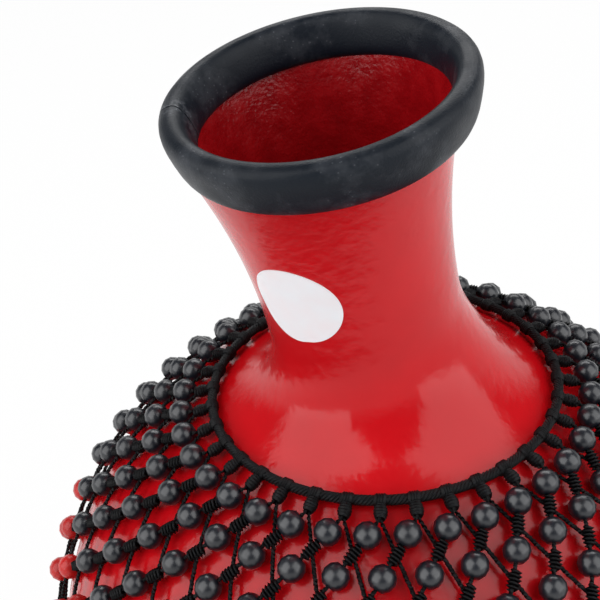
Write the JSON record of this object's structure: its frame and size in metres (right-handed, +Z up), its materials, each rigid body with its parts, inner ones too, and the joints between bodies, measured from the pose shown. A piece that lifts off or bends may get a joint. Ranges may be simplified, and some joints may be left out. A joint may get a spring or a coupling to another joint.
{
  "type": "shekere",
  "caption": "Hollow gourd-shaped rattle with a flared leaning neck, a rubber rim and a loose net of round beads that twists and lifts on the belly.",
  "frame": {"origin": "centre of the flat base, on the belly's axis", "axes": "+Z up along the belly's axis, the neck leans towards -X, -Y faces the viewer"},
  "size_m": [0.2794, 0.2794, 0.365],
  "materials": {
    "shell_red": "high-gloss red, like a gel coat",
    "rim_rubber": "matte black rubber",
    "badge_white": "bare white sticker",
    "net_cord": "black twisted cord with a slight shine",
    "bead_black": "glossy black",
    "bead_red": "glossy red"
  },
  "bodies": {
    "shell": {"shell": "shell_red", "rim_bumper": "rim_rubber", "neck_badge": "badge_white"},
    "collar_core": {"collar_core": "net_cord"},
    "net": {"collar_wrap": "net_cord", "collar_hitches": "net_cord", "bead_strings": "net_cord", "bare_strings": "net_cord", "knots": "net_cord", "base_cord": "net_cord", "base_hitches": "net_cord", "bead_row_01": "bead_black", "bead_row_02": "bead_black", "bead_row_03": "bead_black", "bead_row_04": "bead_black", "bead_row_05": "bead_black", "bead_row_06": "bead_red", "bead_row_07": "bead_red", "bead_row_08": "bead_red", "bead_row_09": "bead_red", "bead_row_10": "bead_red", "bead_row_11": "bead_red", "bead_row_12": "bead_red", "bead_row_13": "bead_red", "bead_row_14": "bead_red", "bead_row_15": "bead_red", "bead_row_16": "bead_red"}
  },
  "joints": [
    {"name": "net_lift", "type": "slide", "parent": "shell", "child": "collar_core", "axis": [0, 0, 1], "range_m": [0, 0.004]},
    {"name": "net_twist", "type": "hinge", "parent": "collar_core", "child": "net", "pos_m": [0, 0, 0.2434], "axis": [0, 0, 1], "continuous": true}
  ]
}
